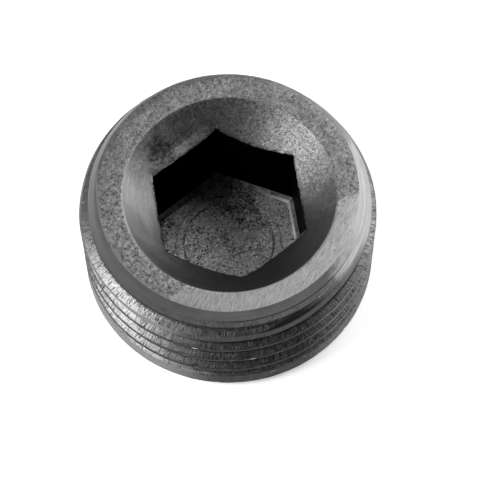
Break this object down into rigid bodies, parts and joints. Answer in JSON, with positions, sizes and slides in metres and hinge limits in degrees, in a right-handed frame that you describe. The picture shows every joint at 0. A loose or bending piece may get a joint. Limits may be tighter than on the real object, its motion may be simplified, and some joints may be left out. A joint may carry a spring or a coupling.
{
  "type": "hex socket plug",
  "caption": "Countersunk hex socket plug: short taper-threaded body, long bevel at the mouth, deep hexagon key socket and flat tail, for sealing a threaded port flush.",
  "frame": {"origin": "centre of the flat tail face, on the thread's axis", "axes": "+Z along the thread's axis, out of the key's mouth; two corners of the hexagon socket lie along X"},
  "size_m": [0.0209, 0.0209, 0.0105],
  "materials": {
    "steel": "dark scaled forging steel, satin where it is turned"
  },
  "bodies": {
    "root": {"plug_body": "steel"}
  },
  "joints": []
}
